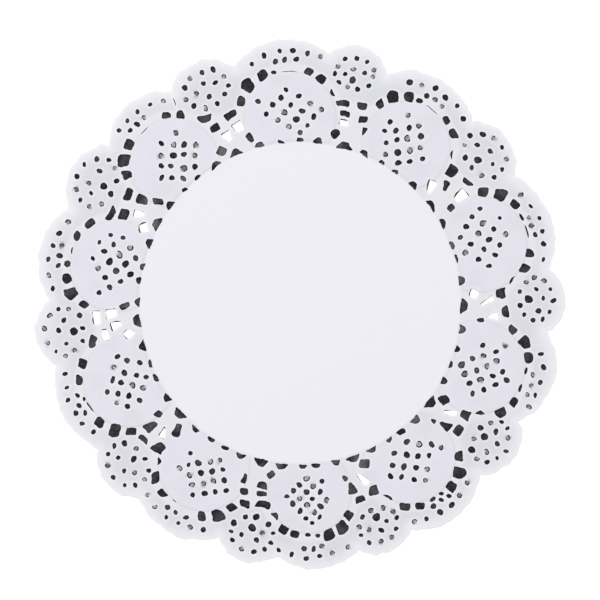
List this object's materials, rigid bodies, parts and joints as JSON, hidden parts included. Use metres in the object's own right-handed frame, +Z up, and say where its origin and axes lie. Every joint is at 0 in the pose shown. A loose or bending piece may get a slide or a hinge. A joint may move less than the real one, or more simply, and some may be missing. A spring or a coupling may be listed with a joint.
{
  "type": "paper doily",
  "caption": "Round flat paper doily: a plain middle in a wide band of punched medallions, petals and openwork, with a lobed edge.",
  "frame": {"origin": "middle of the plain centre, on the underside", "axes": "+Z up through the sheet, +Y towards the top of the picture, +X towards its right"},
  "size_m": [0.266, 0.2662, 0.001],
  "materials": {
    "paper": "matt, slightly mottled white paper with a stamped relief"
  },
  "bodies": {
    "root": {"doily_sheet": "paper"}
  },
  "joints": []
}
